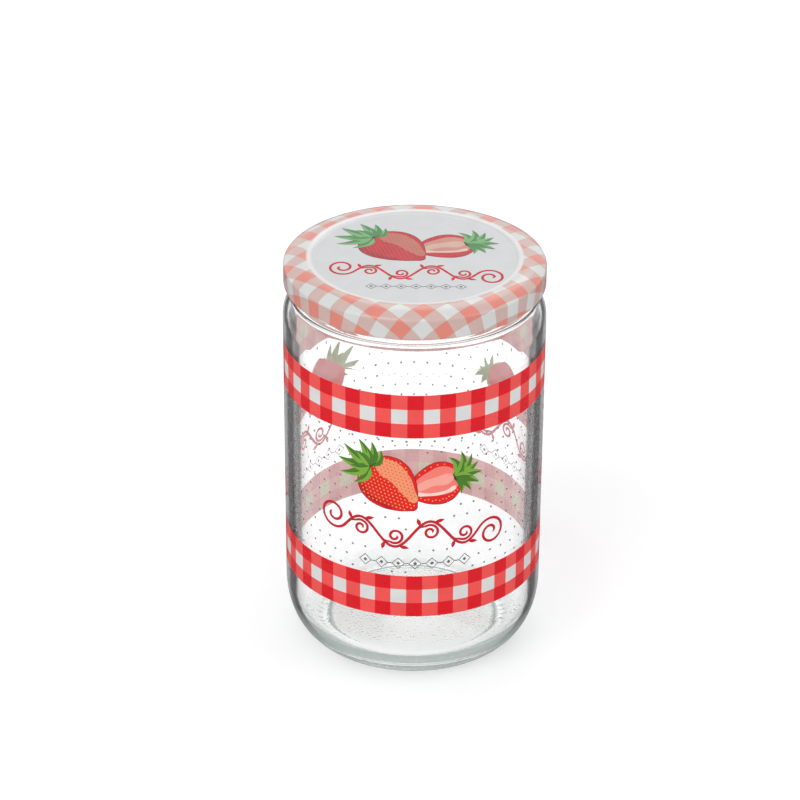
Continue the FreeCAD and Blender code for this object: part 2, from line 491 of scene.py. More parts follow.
# %% [markdown]
# ## The lid
#
# The lid is one sheet of tinplate, 0.3 mm with its lacquers. From the middle out it is a
# flat panel, a small step up to the crown, the round of the crown, a tight bend, the
# skirt, and a hem rolled inwards. The outline goes out along the top side and comes
# back along the under side.
#
# The tinplate is printed flat, before it is stamped. So the checks follow the sheet and
# not the finished shape. Each ring of points remembers how far along the sheet it lies,
# and the UV map puts it at that distance from the middle: that is the printed sheet.

# %% Lid outline and its printed sheet
sheet = 0.3
crown_radius, crown_flat, crown_round = 36.2, 0.9, 11.0
bend_radius, step_round, step_hollow, step_angle = 1.2, 6.0, 2.5, 20.0
hem_turn = 255.0


def lid_outline():
    crown = (crown_radius, crown_top - crown_round)
    bend_x = lid_radius - bend_radius
    bend = (bend_x, crown[1] + leg(crown_radius, bend_x, crown_round - bend_radius))
    crown_end = bearing(crown, bend)
    hem = (lid_radius - hem_radius, hem_foot + hem_radius)
    step = (crown_radius - crown_flat, crown_top - step_round)
    slope = math.radians(90.0 + step_angle)
    foot = (step[0] + (step_round + step_hollow) * math.cos(slope),
            step[1] + (step_round + step_hollow) * math.sin(slope))
    panel_top = foot[1] - step_hollow
    over = [(0.0, panel_top)]
    over += wall((0.0, panel_top), (foot[0], panel_top))
    over += arc(foot, step_hollow, 270.0, 270.0 + step_angle, 6)
    over += arc(step, step_round, 90.0 + step_angle, 90.0, 8)[1:]
    over += arc(crown, crown_round, 90.0, crown_end, 14)
    over += arc(bend, bend_radius, crown_end, 0.0, 8)[1:]
    over += wall((lid_radius, bend[1]), (lid_radius, hem[1]))
    over += arc(hem, hem_radius, 0.0, -hem_turn, 26)
    under = arc(hem, hem_radius - sheet, -hem_turn, 0.0, 20)
    under += wall((lid_radius - sheet, hem[1]), (lid_radius - sheet, bend[1]))
    under += arc(bend, bend_radius - sheet, 0.0, crown_end, 6)
    under += arc(crown, crown_round - sheet, crown_end, 90.0, 12)[1:]
    under += arc(step, step_round - sheet, 90.0, 90.0 + step_angle, 6)
    under += arc(foot, step_hollow + sheet, 270.0 + step_angle, 270.0, 6)[1:]
    under += [(0.0, panel_top - sheet)]
    return over, under, panel_top, foot[0]


def closest(places, radius, height):
    """The number of the place nearest to a point of the section."""
    return min(range(len(places)), key=lambda number: math.dist(
        places[number], (radius, height)))


def section_place(point):
    """Distance from the axis and height of a point of a mesh, mm."""
    x, y, z = point / MM
    return round(math.hypot(x, y), 3), round(z, 3)


def print_sheet_map(piece, points):
    """A UV map, in metres, of the flat sheet that the piece was stamped from."""
    lengths = [0.0]
    for here, there in zip(points, points[1:]):
        lengths.append(lengths[-1] + math.dist(here, there))
    known = {}
    layer = piece.data.uv_layers.new(name="sheet")
    for loop in piece.data.loops:
        point = piece.data.vertices[loop.vertex_index].co
        place = section_place(point)
        if place not in known:
            known[place] = lengths[closest(points, *place)]
        scale = known[place] / place[0] if place[0] > 0.01 else 0.0
        layer.data[loop.index].uv = (point.x * scale, point.y * scale)
    return lengths[-1]


over, under, panel_top, panel_radius = lid_outline()
lid = lathe("lid_shell", over + under)
reach = print_sheet_map(lid, over)
print("panel radius", round(panel_radius, 2), "sheet reach", round(reach, 1), "mm")

# %% Lugs under the skirt
lug_inner = finish_radius + lug_gap
lug_outer = lid_radius - hem_radius
lug_run = lug_inner * math.radians(lug_span)
lug = block("lug", (lug_run, lug_height, lug_outer - lug_inner),
            (lug_run / 2, hem_foot + lug_foot + lug_height / 2,
             (lug_outer - lug_inner) / 2))
cut_in_strips(lug)
modify(lug, "BEVEL", width=lug_rounding * MM, segments=2, limit_method="ANGLE")
lugs = set_round(lug, "lid_lugs", STARTS, lug_inner, first_thread + lug_lead)
tidy_shell(lugs)
smooth(lugs)
tell(lugs)

# %% [markdown]
# ## Colours, and effects that several finishes share
#
# A colour picked from a screen is written in display values from 0 to 255, but a shader
# wants linear light, so `colour` converts it. Each is a node group, built once and
# placed in a material with its own values.

# %% Colour helper
def colour(red, green, blue):
    """Linear colour from display values."""
    linear = []
    for value in (red, green, blue):
        share = value / 255.0
        linear.append(share / 12.92 if share <= 0.04045
                      else ((share + 0.055) / 1.055) ** 2.4)
    return (*linear, 1.0)


WHITE, BLACK = (1, 1, 1, 1), (0, 0, 0, 1)
print("middle grey in linear light:", round(colour(128, 128, 128)[0], 3))


# %% Node helpers
def plug(tree, socket, value):
    """Links a socket to another one, or sets it to a value."""
    if isinstance(value, bpy.types.NodeSocket):
        tree.links.new(value, socket)
    else:
        socket.default_value = value


def set_up(tree, node, **sockets):
    """Links or sets sockets by name; underscores stand for spaces."""
    for name, value in sockets.items():
        plug(tree, node.inputs[name.replace("_", " ")], value)
    return node


def add_node(tree, kind, **sockets):
    return set_up(tree, tree.nodes.new("ShaderNode" + kind), **sockets)


def use_group(tree, group, **sockets):
    """A node for a shared group."""
    node = add_node(tree, "Group")
    node.node_tree = group
    return set_up(tree, node, **sockets)


def math_node(tree, operation, *values, clamp=False):
    """A Math node with sockets or numbers as its inputs; returns its output."""
    node = add_node(tree, "Math")
    node.operation = operation
    node.use_clamp = clamp
    for socket, value in zip(node.inputs, values):
        plug(tree, socket, value)
    return node.outputs[0]


def mix_colours(tree, factor, first, second):
    """A colour Mix node; each input is a socket or a value. Returns its output."""
    node = add_node(tree, "Mix")
    node.data_type = "RGBA"
    node.clamp_factor = True
    for number, value in ((0, factor), (6, first), (7, second)):
        plug(tree, node.inputs[number], value)
    return node.outputs[2]


def mix_shaders(tree, factor, first, second):
    """A Mix Shader node between the first outputs of two nodes."""
    node = add_node(tree, "MixShader")
    for socket, value in zip(node.inputs, (factor, first.outputs[0], second.outputs[0])):
        plug(tree, socket, value)
    return node


def smooth_step(tree, value, low, high):
    """0 below low, 1 above high, and a soft ramp between."""
    node = add_node(tree, "MapRange", Value=value, From_Min=low, From_Max=high)
    node.interpolation_type = "SMOOTHSTEP"
    return node.outputs["Result"]


def edge_step(tree, value, edge, blur):
    """A soft step with its middle at an edge."""
    return smooth_step(tree, value, edge - blur, edge + blur)


def object_position(tree):
    return add_node(tree, "TexCoord").outputs["Object"]


def distance_out(tree, vector):
    """Length of a vector."""
    node = add_node(tree, "VectorMath")
    node.operation = "LENGTH"
    plug(tree, node.inputs[0], vector)
    return node.outputs["Value"]


def noise(tree, vector, scale, detail):
    return add_node(tree, "TexNoise", Vector=vector, Scale=scale,
                    Detail=detail).outputs["Fac"]


def bump(tree, height, strength, distance, **under):
    """A Bump node's normal; it can lie on the Normal of another bump."""
    return add_node(tree, "Bump", Height=height, Strength=strength,
                    Distance=distance, **under).outputs["Normal"]


def new_group(name, inputs, outputs):
    """An empty shader group with sockets of these kinds, and its two ends."""
    group = bpy.data.node_groups.new(name, "ShaderNodeTree")
    for in_out, sockets in (("INPUT", inputs), ("OUTPUT", outputs)):
        for socket_name, kind in sockets.items():
            group.interface.new_socket(name=socket_name, in_out=in_out,
                                       socket_type="NodeSocket" + kind)
    start = group.nodes.new("NodeGroupInput")
    end = group.nodes.new("NodeGroupOutput")
    return group, start.outputs, end.inputs


# %% Shared effects
CHECK_BLUR = 0.01           # softness of a check's edge, in stripe widths
PATCH_SCALE, GRAIN_SCALE = 180.0, 2600.0    # of the noise behind the soft patches and grain


def build_checks():
    """Gingham on x and y, in stripe widths: bare at 0, one dye at 1, both where crossed."""
    group, given, result = new_group(
        "Gingham Checks", {"Vector": "Vector", "Bare": "Color", "One Dye": "Color",
                           "Both Dyes": "Color"}, {"Color": "Color"})
    split = add_node(group, "SeparateXYZ", Vector=given["Vector"])
    masks = []
    for axis in (0, 1):
        fold = math_node(group, "PINGPONG", split.outputs[axis], 1.0)
        masks.append(edge_step(group, fold, edge=0.5, blur=CHECK_BLUR))
    either = math_node(group, "ADD", *masks, clamp=True)
    both = math_node(group, "MULTIPLY", *masks)
    single = mix_colours(group, either, given["Bare"], given["One Dye"])
    plug(group, result["Color"], mix_colours(group, both, single, given["Both Dyes"]))
    return group


def build_unevenness():
    """Makes a colour a little darker in soft patches and in a fine grain."""
    group, given, result = new_group(
        "Uneven Colour", {"Vector": "Vector", "Color": "Color", "Patches": "Float",
                          "Grain": "Float"}, {"Color": "Color", "Mask": "Float"})
    shades = []
    for scale, amount in ((PATCH_SCALE, "Patches"), (GRAIN_SCALE, "Grain")):
        soft = edge_step(group, noise(group, given["Vector"], scale, detail=3.0),
                         edge=0.5, blur=0.15)
        shades.append(math_node(group, "MULTIPLY", soft, given[amount]))
    total = math_node(group, "ADD", *shades, clamp=True)
    plug(group, result["Color"], mix_colours(group, total, given["Color"], BLACK))
    plug(group, result["Mask"], total)
    return group


def build_waviness():
    """Slow waves and a finer ripple, for the Height of a Bump node."""
    group, given, result = new_group(
        "Gentle Waviness", {"Vector": "Vector", "Waves": "Float", "Ripple": "Float",
                            "Ripple Share": "Float"}, {"Height": "Float"})
    slow, fine = [noise(group, given["Vector"], given[scale], detail=1.0)
                  for scale in ("Waves", "Ripple")]
    ripple = math_node(group, "MULTIPLY", fine, given["Ripple Share"])
    plug(group, result["Height"], math_node(group, "ADD", slow, ripple))
    return group


checks = build_checks()
unevenness = build_unevenness()
waviness = build_waviness()
print("node groups:", [group.name for group in bpy.data.node_groups])

# %% [markdown]
# ## Inks
#
# The print is enamel, fired on the outside of the glass. From outside it is opaque and
# glossy. From inside, through the wall, its back shows: the pigment there is mixed with
# the glass and looks dusty, so every red turns mauve and the greens turn grey. The backs
# are also painted paler than that, and given a glow: painted light for the dim inside of
# the jar. Each printed shape therefore has two inks, one for its face and one for its back.

# %% Ink materials
INK_PATCHES, INK_GRAIN = 0.04, 0.03     # how much darker an ink is there


def new_material(name):
    """A material, its node tree and its Principled shader."""
    material = bpy.data.materials.new(name)
    material.use_nodes = True
    tree = material.node_tree
    return material, tree, tree.nodes["Principled BSDF"]


def lay_colour(tree, shader, paint, patches, grain, roughness, spread=0.15):
    """Paints a shader unevenly; the darker it gets, the rougher it is."""
    uneven = use_group(tree, unevenness, Vector=object_position(tree), Color=paint,
                       Patches=patches, Grain=grain)
    rougher = add_node(tree, "MapRange", Value=uneven.outputs["Mask"], From_Max=0.1,
                       To_Min=roughness, To_Max=roughness + spread)
    set_up(tree, shader, Base_Color=uneven.outputs["Color"],
           Roughness=rougher.outputs["Result"])
    return uneven.outputs["Color"]


def lay_ink(tree, shader, paint, patches, roughness, shine, glow):
    """Ink colour with its gloss, and with a painted glow where one is given."""
    shown = lay_colour(tree, shader, paint, patches, INK_GRAIN, roughness)
    set_up(tree, shader, Specular_IOR_Level=shine)
    if glow:
        set_up(tree, shader, Emission_Color=shown, Emission_Strength=glow)


def ink(name, paint, roughness=0.28, shine=0.3, glow=0.0):
    """One plain printed colour with the slight unevenness of screen print."""
    material, tree, shader = new_material(name)
    lay_ink(tree, shader, colour(*paint), INK_PATCHES, roughness, shine, glow)
    return material


# the back colours are paler partly as painted light, for the dim inside of the jar
PINK_BACK, GREEN_BACK = (238, 172, 168), (190, 197, 166)
RED_BACK, GREY_BACK = (238, 156, 156), (176, 162, 166)
INK_COLOURS = {             # face and back
    "red": ((232, 26, 34), RED_BACK),
    "red_deep": ((196, 20, 28), RED_BACK),
    "outline_red": ((122, 26, 30), (230, 150, 150)),
    "flesh": ((250, 128, 116), PINK_BACK),
    "flesh_light": ((252, 168, 152), PINK_BACK),
    "flesh_pale": ((255, 216, 204), PINK_BACK),
    "salmon": ((250, 150, 108), PINK_BACK),
    "seed_yellow": ((255, 190, 80), PINK_BACK),
    "seed_brown": ((176, 104, 58), PINK_BACK),
    "green": ((78, 128, 44), GREEN_BACK),
    "green_light": ((124, 176, 62), GREEN_BACK),
    "outline_green": ((36, 50, 22), (186, 192, 162)),
    "script_red": ((206, 24, 42), (226, 130, 140)),
    "dot_grey": ((146, 136, 141), GREY_BACK),
    "fine_grey": ((112, 104, 108), GREY_BACK),
}
BACK_ROUGHNESS, BACK_SHINE = 0.5, 0.1
PAINTED_BACK_GLOW = 0.34            # painted light: a glow on the back of the ink, for the dim inside of the jar
inks = {}
for ink_name, (face_paint, back_paint) in INK_COLOURS.items():
    inks[ink_name] = (ink("ink_" + ink_name, face_paint),
                      ink("ink_" + ink_name + "_back", back_paint, BACK_ROUGHNESS,
                          BACK_SHINE, PAINTED_BACK_GLOW))
print("inks:", ", ".join(inks))

# %% [markdown]
# ## Flat shapes of ink
#
# A printed shape starts as a Bezier circle. Its points are moved to the few places that
# the outline passes through, a filled curve makes the face, and a very small extrusion
# gives it the thickness of the ink. `grow` swells the same outline a little: under the
# real shape, that makes its dark contour line. At a sharp tip the swollen outline crosses
# itself, which can turn such a thin plate inside out, so its widest face is checked.
# Shapes that lie over each other sit on layers a few thousandths of a millimetre apart.

# %% Layers of ink
INK = 0.002                 # thickness of one ink layer, mm
LAYER = 0.0038              # from one layer to the next, mm
FIRST_LAYER = 0.012         # from the glass to the middle of the first layer, mm
TAPER = 0.22                # how fast a pen line thickens from its end, per point


def layer_height(layer):
    return FIRST_LAYER + layer * LAYER


def finish_flat(piece, pair, layer):
    """Lifts a flat piece in mm to its layer, in metres, and gives it its two inks."""
    edit(piece)
    bpy.ops.mesh.remove_doubles(threshold=INK / 10)
    bpy.ops.transform.translate(value=(0, 0, layer_height(layer)))
    bpy.ops.transform.resize(value=(MM, MM, MM), center_override=(0, 0, 0))
    bpy.ops.mesh.normals_make_consistent(inside=False)
    close_edit()
    widest = max(piece.data.polygons, key=lambda face: face.area)
    if (widest.center.z > layer_height(layer) * MM) != (widest.normal.z > 0):
        edit(piece)
        bpy.ops.mesh.flip_normals()
        close_edit()
    dress(piece, *inks[pair])
    for face in piece.data.polygons:
        face.material_index = 1 if face.normal.z < -0.5 else 0
    return piece


# %% Filled shapes
def turns_left(outline):
    """True if the outline runs counter-clockwise."""
    area = 0.0
    for here, there in zip(outline, outline[1:] + outline[:1]):
        area += here[0] * there[1] - there[0] * here[1]
    return area > 0


def flat_shape(name, outline, pair, layer, grow=0.0, roundness=6):
    """A filled shape through a few points in mm; a third item marks a sharp corner."""
    piece = add(name, bpy.ops.curve.primitive_bezier_circle_add, radius=1)
    curve = piece.data
    curve.dimensions = "2D"
    curve.fill_mode = "BOTH"
    curve.resolution_u = roundness
    curve.offset = -grow if turns_left(outline) else grow
    curve.extrude = INK / 2
    spline = curve.splines[0]
    if len(outline) > 4:
        spline.bezier_points.add(len(outline) - 4)
    for point, (x, y, *corner) in zip(spline.bezier_points, outline):
        kind = "VECTOR" if corner else "AUTO"
        point.handle_left_type = point.handle_right_type = kind
        point.co = (x, y, 0)
    bpy.ops.object.convert(target="MESH")
    return finish_flat(bpy.context.object, pair, layer)


# %% Pen lines
def stroke(name, path, width, pair, layer, closed=False, straight=False, ends=0.35):
    """A pen line of a width in mm along a path, thinner at its ends, pressed flat."""
    piece = add(name, bpy.ops.curve.primitive_nurbs_path_add, radius=1)
    curve = piece.data
    curve.splines.clear()
    spline = curve.splines.new("POLY" if straight else "NURBS")
    spline.points.add(len(path) - 1)
    for number, (point, (x, y)) in enumerate(zip(spline.points, path)):
        point.co = (x, y, 0, 1)
        if not closed:
            from_end = min(number, len(path) - 1 - number)
            point.radius = min(1.0, ends + TAPER * from_end)
    spline.use_cyclic_u = closed
    if not straight:
        spline.order_u = 4
        spline.use_endpoint_u = not closed
        spline.resolution_u = 3
    curve.bevel_depth = width / 2
    curve.bevel_resolution = 1
    curve.use_fill_caps = True
    bpy.ops.object.convert(target="MESH")
    piece = bpy.context.object
    edit(piece)
    bpy.ops.transform.resize(value=(1, 1, INK / width), center_override=(0, 0, 0))
    close_edit()
    return finish_flat(piece, pair, layer)


# %% [markdown]
# ## Strawberries
#
# One whole berry and one cut in half, with their crowns of leaves. A berry is widest
# near its crown and runs down to a blunt tip, so its half width is an elliptic shoulder
# followed by a cosine. The same formula says where the seeds fit. A leaf is a pointed
# oval in two shades, over a dark contour that also shows between them as the vein.

# %% Outline of a berry
SHOULDER = 0.36             # where a berry is widest, from crown 0 to tip 1
TIP_POWER = 0.8             # below 1 the tip is blunt
CONTOUR = 0.2               # how far a contour line shows round its shape, mm
VEIN = 0.07                 # half the gap between the two halves of a leaf, mm


def heading(degrees):
    """Unit vector in a direction, counted from x."""
    return Vector((math.cos(math.radians(degrees)), math.sin(math.radians(degrees))))


def to_left(axis):
    return Vector((-axis.y, axis.x))


def berry_width(share):
    """Half width of a berry from crown 0 to tip 1, as a share of its widest."""
    if share < SHOULDER:
        return math.sqrt(1 - (1 - share / SHOULDER) ** 2)
    return max(0.0, math.cos(
        math.pi / 2 * (share - SHOULDER) / (1 - SHOULDER))) ** TIP_POWER


# %% A berry's own coordinates
class Berry:
    """Places on a berry: along its axis from 0 to 1, across it from -1 to 1."""

    def __init__(self, crown, tip, half_width):
        self.crown, self.tip = Vector(crown), Vector(tip)
        self.half_width = half_width
        self.axis = (self.tip - self.crown).normalized()
        self.side = to_left(self.axis)
        self.length = (self.tip - self.crown).length

    def at(self, along, across):
        width = self.half_width * across
        return tuple(self.crown + self.axis * self.length * along + self.side * width)

    def outline(self):
        stops = (0.0, 0.05, 0.17, 0.36, 0.6, 0.8, 0.94)
        one_side = [self.at(stop, berry_width(stop)) for stop in stops]
        other_side = [self.at(stop, -berry_width(stop)) for stop in stops[1:]]
        return one_side + [self.at(1.0, 0.0)] + other_side[::-1]

    def patch(self, places):
        return [self.at(along, across) for along, across in places]


# %% Leaves and seeds
def leaf_shapes(name, base, degrees, length, width, layer, bend):
    """Contour of one pointed leaf, and its two halves with a gap for the vein."""
    axis = heading(degrees)
    side = to_left(axis)
    foot = Vector(base)
    vein = VEIN / width

    def place(along, across):
        sway = bend * length * math.sin(math.pi * along)
        return tuple(foot + axis * length * along + side * (width * across + sway))

    outline = [place(0, -0.2), place(0.34, -0.5), place(0.72, -0.27),
               (*place(1, 0), "tip"), place(0.72, 0.27), place(0.34, 0.5), place(0, 0.2)]
    shapes = [flat_shape(name + "_line", outline, "outline_green", layer, grow=CONTOUR)]
    for half_name, across, pair in (("low", -1, "green"), ("high", 1, "green_light")):
        half_outline = [(*place(0.02, across * vein), "foot"), place(0.1, across * 0.3),
                        place(0.34, across * 0.5), place(0.72, across * 0.27),
                        (*place(0.97, across * vein / 2), "tip"),
                        place(0.5, across * vein)]
        shapes.append(flat_shape(f"{name}_{half_name}", half_outline, pair, layer + 1))
    return shapes


def sow(model, places):
    """Copies a small flat piece to places in mm."""
    copies = []
    for x, y in places:
        copy = copy_of(model, model.name)
        for point in copy.data.vertices:
            point.co.x += x * MM
            point.co.y += y * MM
        copies.append(copy)
    bpy.data.objects.remove(model)
    return copies


def seed_model(name, axis, size, pair, layer):
    """One drop-shaped seed at the middle, with its narrow end towards the crown."""
    side = to_left(axis)
    outline = [tuple(-axis * size), tuple(side * size * 0.5),
               tuple(axis * size * 0.75), tuple(-side * size * 0.5)]
    return flat_shape(name, outline, pair, layer, roundness=2)


# %% The two berries and their patches, drawn flat about their own middle
whole = Berry((-14.2, 4.8), (1.9, -11.2), 9.4)
half = Berry((16.4, 0.4), (-1.4, -5.4), 7.7)
shine = [(0.07, 0.3), (0.22, 0.76), (0.5, 0.8), (0.76, 0.52), (0.92, 0.2),
         (0.72, 0.1), (0.45, 0.14), (0.2, 0.06)]
shade = [(0.16, -0.74), (0.36, -0.95), (0.6, -0.8), (0.76, -0.54), (0.6, -0.64),
         (0.36, -0.8)]
cut_face = [(0.07, -0.3), (0.24, -0.72), (0.52, -0.68), (0.82, -0.34), (0.93, -0.02),
            (0.8, 0.26), (0.5, 0.52), (0.2, 0.6), (0.07, 0.3)]
cut_light = [(0.12, -0.1), (0.45, -0.34), (0.78, -0.2), (0.82, -0.06), (0.5, 0.03),
             (0.2, 0.16)]
cut_rim = [(0.14, 0.46), (0.34, 0.44), (0.62, 0.3), (0.82, 0.16), (0.64, 0.4),
           (0.36, 0.57)]
print("berries:", round(whole.length, 1), "and", round(half.length, 1), "mm long")

# %% The whole berry
SEED_STEP = 1.3             # from one seed to the next, mm
ROW_STEP = SEED_STEP * math.sqrt(3) / 2     # so that the seeds lie in triangles
SEEDED_SHARE = 0.9          # of the berry's length, which sets the number of rows
SEED_MARGIN = 0.7           # the edge of the berry that has no seeds, mm
MOST_ASIDE = 8              # enough seeds on each side of the middle to fill any row
ROWS_START, ROWS_REACH = 0.06, 0.88         # along the berry, from crown 0 to tip 1
SEED, SMALL_SEED = 0.34, 0.32               # half their length, mm


def inside_patch(places, along, across):
    """True where a place lies inside a patch of the berry, by counting crossings."""
    inside = False
    for (a0, c0), (a1, c1) in zip(places, places[1:] + places[:1]):
        if (a0 > along) != (a1 > along):
            inside ^= across < c0 + (c1 - c0) * (along - a0) / (a1 - a0)
    return inside


def draw_whole_berry():
    outline = whole.outline()
    shapes = [flat_shape("whole_line", outline, "outline_red", 4, grow=CONTOUR),
              flat_shape("whole_red", outline, "red", 5),
              flat_shape("whole_shine", whole.patch(shine), "salmon", 6),
              flat_shape("whole_shade", whole.patch(shade), "red_deep", 6)]
    rows = int(whole.length * SEEDED_SHARE / ROW_STEP)
    on_red, on_shine = [], []
    for row in range(rows):
        along = ROWS_START + ROWS_REACH * row / (rows - 1)
        room = berry_width(along) * whole.half_width - SEED_MARGIN
        for number in range(-MOST_ASIDE, MOST_ASIDE + 1):
            offset = (number + 0.5 * (row % 2)) * SEED_STEP
            if abs(offset) > room:
                continue
            across = offset / whole.half_width
            seeds = on_shine if inside_patch(shine, along, across) else on_red
            seeds.append(whole.at(along, across))
    for name, size, pair, places in (("seed_red", SEED, "seed_yellow", on_red),
                                     ("seed_shine", SMALL_SEED, "seed_brown", on_shine)):
        shapes += sow(seed_model(name, whole.axis, size, pair, 7), places)
    print("seeds:", len(on_red), "and", len(on_shine))
    return shapes


# %% The cut berry
CUT_SEEDS = 13              # round its skin
SKIN_START, SKIN_REACH = 0.14, 0.7          # along the berry, from crown 0 to tip 1
UPPER_SKIN, LOWER_SKIN = (0.93, -0.1), (-0.9, 0.02)     # share of the width, and inset
UNEVEN = 0.05               # every other seed lies this much further in


def draw_half_berry():
    outline = half.outline()
    shapes = [flat_shape("half_line", outline, "outline_red", 0, grow=CONTOUR),
              flat_shape("half_red", outline, "red", 1),
              flat_shape("half_flesh", half.patch(cut_face), "flesh", 2),
              flat_shape("half_light", half.patch(cut_light), "flesh_light", 3),
              flat_shape("half_rim", half.patch(cut_rim), "flesh_pale", 3)]
    places = []
    for number in range(CUT_SEEDS):
        along = SKIN_START + SKIN_REACH * number / (CUT_SEEDS - 1)
        upper, lower = [share * berry_width(along) + inset
                        for share, inset in (UPPER_SKIN, LOWER_SKIN)]
        places.append(half.at(along, upper - UNEVEN * (number % 2)))
        if number % 2:
            places.append(half.at(along, lower))
    seed = seed_model("half_seed", half.axis, SMALL_SEED, "seed_yellow", 2)
    return shapes + sow(seed, places)


# %% The crowns of leaves, and the whole drawing
def draw_crown(name, base, facing, first_layer, leaves):
    """A fan of leaves; each is (turn from facing, length, width, bend)."""
    shapes = []
    for number, (turn, length, width, bend) in enumerate(leaves):
        shapes += leaf_shapes(f"{name}_{number}", base, facing + turn, length, width,
                              first_layer + 2 * number, bend)
    return shapes


whole_crown = draw_crown("whole_crown", (-13.0, 3.6), 142.0, 8, [
    (88, 9.6, 3.0, 0.16), (-80, 7.6, 2.8, -0.2), (60, 12.0, 3.2, 0.1),
    (-54, 9.4, 3.0, -0.12), (34, 12.0, 3.4, 0.06), (-28, 10.4, 3.2, -0.08),
    (4, 11.6, 3.4, 0.05), (46, 7.4, 3.0, 0.1), (-42, 6.6, 2.8, -0.1),
    (-4, 7.2, 3.0, -0.08)])
half_crown = draw_crown("half_crown", (14.6, -0.1), 14.0, 4, [
    (96, 8.2, 2.8, -0.26), (-88, 7.4, 2.6, 0.2), (66, 9.8, 3.0, -0.2),
    (-62, 8.6, 3.0, 0.12), (40, 9.8, 3.0, -0.14), (-38, 9.6, 3.2, 0.08),
    (14, 9.4, 3.2, -0.08), (-14, 10.0, 3.2, 0.06), (50, 6.2, 2.6, -0.12),
    (-24, 6.4, 2.8, 0.08)])
fruit = join(draw_half_berry() + half_crown + draw_whole_berry() + whole_crown, "fruit")
tell(fruit)

# %% [markdown]
# ## The scroll and the lozenge border
#
# Under the fruit the jar has a line of red ornament and a fine grey one. Both are drawn
# here as old printers' ornaments. The red one is a vine scroll: a wave with a spiral
# curling in under each crest, a few leaves, and a large spiral at each end. The grey one
# is a chain of lozenges. A spiral is a circle whose radius shrinks as it turns.

# %% The scroll, drawn flat
BAY, SWING = 11.5, 4.8      # half a wave of the vine: its length and its height, mm
STEM_END = 2 * BAY          # where the wave passes into the end spirals
SCROLL_WIDTH, CURL_WIDTH = 0.98, 0.9
END_REACH, END_EYE = 5.3, 1.0       # radius of an end spiral, outside and at its eye, mm
CURL_REACH, CURL_EYE = 2.9, 0.6
CURL_ASIDE, CURL_UP, CURL_BEGIN = 0.2, 0.8, 155.0   # its middle, mm, and first point
BRANCH_START, BRANCH_ALONG, BRANCH_UP = 1.2, 2.0, 2.6   # from the vine to the curl, mm
COILS = 1.5                 # turns of each spiral
SCROLL_LEAVES = ((0.22, 62.0, 3.2), (0.62, 38.0, 3.6))  # share of a bay, lean, length


def spiral(centre, outer, inner, begin, turns, steps):
    """Points from the outer radius in to the inner one; turns below 0 go clockwise."""
    points = []
    for step in range(1, steps + 1):
        share = step / steps
        radius = outer + (inner - outer) * share ** 1.2
        angle = math.radians(begin) + turns * FULL_TURN * share
        points.append((centre[0] + radius * math.cos(angle),
                       centre[1] + radius * math.sin(angle)))
    return points


def vine(x):
    """Height of the vine; it rises at both of its ends."""
    return SWING * math.sin(math.pi * (x + STEM_END) / BAY)


def vine_slope(x):
    """Direction of the vine, in degrees."""
    return math.degrees(math.atan(
        SWING * math.pi / BAY * math.cos(math.pi * (x + STEM_END) / BAY)))


def draw_stem():
    """The wave, with a spiral that leaves it smoothly at each end."""
    steps = 48
    wave = [(x, vine(x)) for x in (STEM_END * (2 * step / steps - 1)
                                   for step in range(steps + 1))]
    rise = vine_slope(STEM_END)
    aside = to_left(heading(rise)) * END_REACH
    left, right = [spiral(side * (Vector((STEM_END, 0)) - aside), END_REACH, END_EYE,
                          rise + side * 90.0, -COILS, 30) for side in (-1, 1)]
    return stroke("stem", left[::-1] + wave + right, SCROLL_WIDTH, "script_red", 1)


def draw_scroll_leaf(name, x, lean, size):
    axis = heading(vine_slope(x) + lean)
    side = to_left(axis)
    foot = Vector((x, vine(x)))
    outline = [(*foot, "foot"), tuple(foot + axis * size * 0.45 - side * 0.72),
               (*(foot + axis * size), "tip"),
               tuple(foot + axis * size * 0.5 + side * 0.62)]
    return flat_shape(name, outline, "script_red", 0, roundness=5)


def draw_scroll():
    shapes = [draw_stem()]
    for number in range(4):
        side = 1 if number % 2 == 0 else -1
        begin = -STEM_END + number * BAY
        curl = spiral((begin + BAY / 2 + CURL_ASIDE, side * CURL_UP), CURL_REACH,
                      CURL_EYE, side * CURL_BEGIN, -COILS * side, 24)
        branch = [(begin + BRANCH_START, vine(begin + BRANCH_START)),
                  (begin + BRANCH_ALONG, side * BRANCH_UP)]
        shapes.append(stroke(f"curl_{number}", branch + curl, CURL_WIDTH,
                             "script_red", 2))
        for share, lean, size in SCROLL_LEAVES:
            shapes.append(draw_scroll_leaf(f"scroll_leaf_{number}_{share}",
                                           begin + share * BAY, side * lean, size))
    return join(shapes, "scroll")


scroll = draw_scroll()
tell(scroll)

# %% The lozenges, drawn flat
LOZENGE_STEP, LOZENGE_REACH, STUD_REACH, DASH_REACH = 5.5, 2.0, 0.7, 0.6
LOZENGE_WIDTH, DASH_WIDTH = 0.38, 0.36


def diamond(x, reach, *corner):
    """The corners of a lozenge; an extra item marks them as sharp."""
    return [(x - reach, 0, *corner), (x, reach, *corner),
            (x + reach, 0, *corner), (x, -reach, *corner)]


def draw_lozenges():
    shapes = []
    for number in range(-3, 4):
        x = number * LOZENGE_STEP
        shapes.append(stroke(f"lozenge_{number}", diamond(x, LOZENGE_REACH),
                             LOZENGE_WIDTH, "fine_grey", 0, closed=True, straight=True))
        shapes.append(flat_shape(f"stud_{number}", diamond(x, STUD_REACH, "corner"),
                                 "fine_grey", 0, roundness=1))
        if number < 3:
            middle = x + LOZENGE_STEP / 2
            dash = [(middle - DASH_REACH, 0), (middle + DASH_REACH, 0)]
            shapes.append(stroke(f"dash_{number}", dash, DASH_WIDTH, "fine_grey", 0,
                                 straight=True, ends=1.0))
    return join(shapes, "lozenges")


lozenges = draw_lozenges()
tell(lozenges)

# %% [markdown]
# ## Dots
#
# Rows of small dots fill the wall between the bands, each row half a step off the one
# below. They stay clear of the drawings. One dot is a twelve-sided disc, and every
# other one is a copy of it.

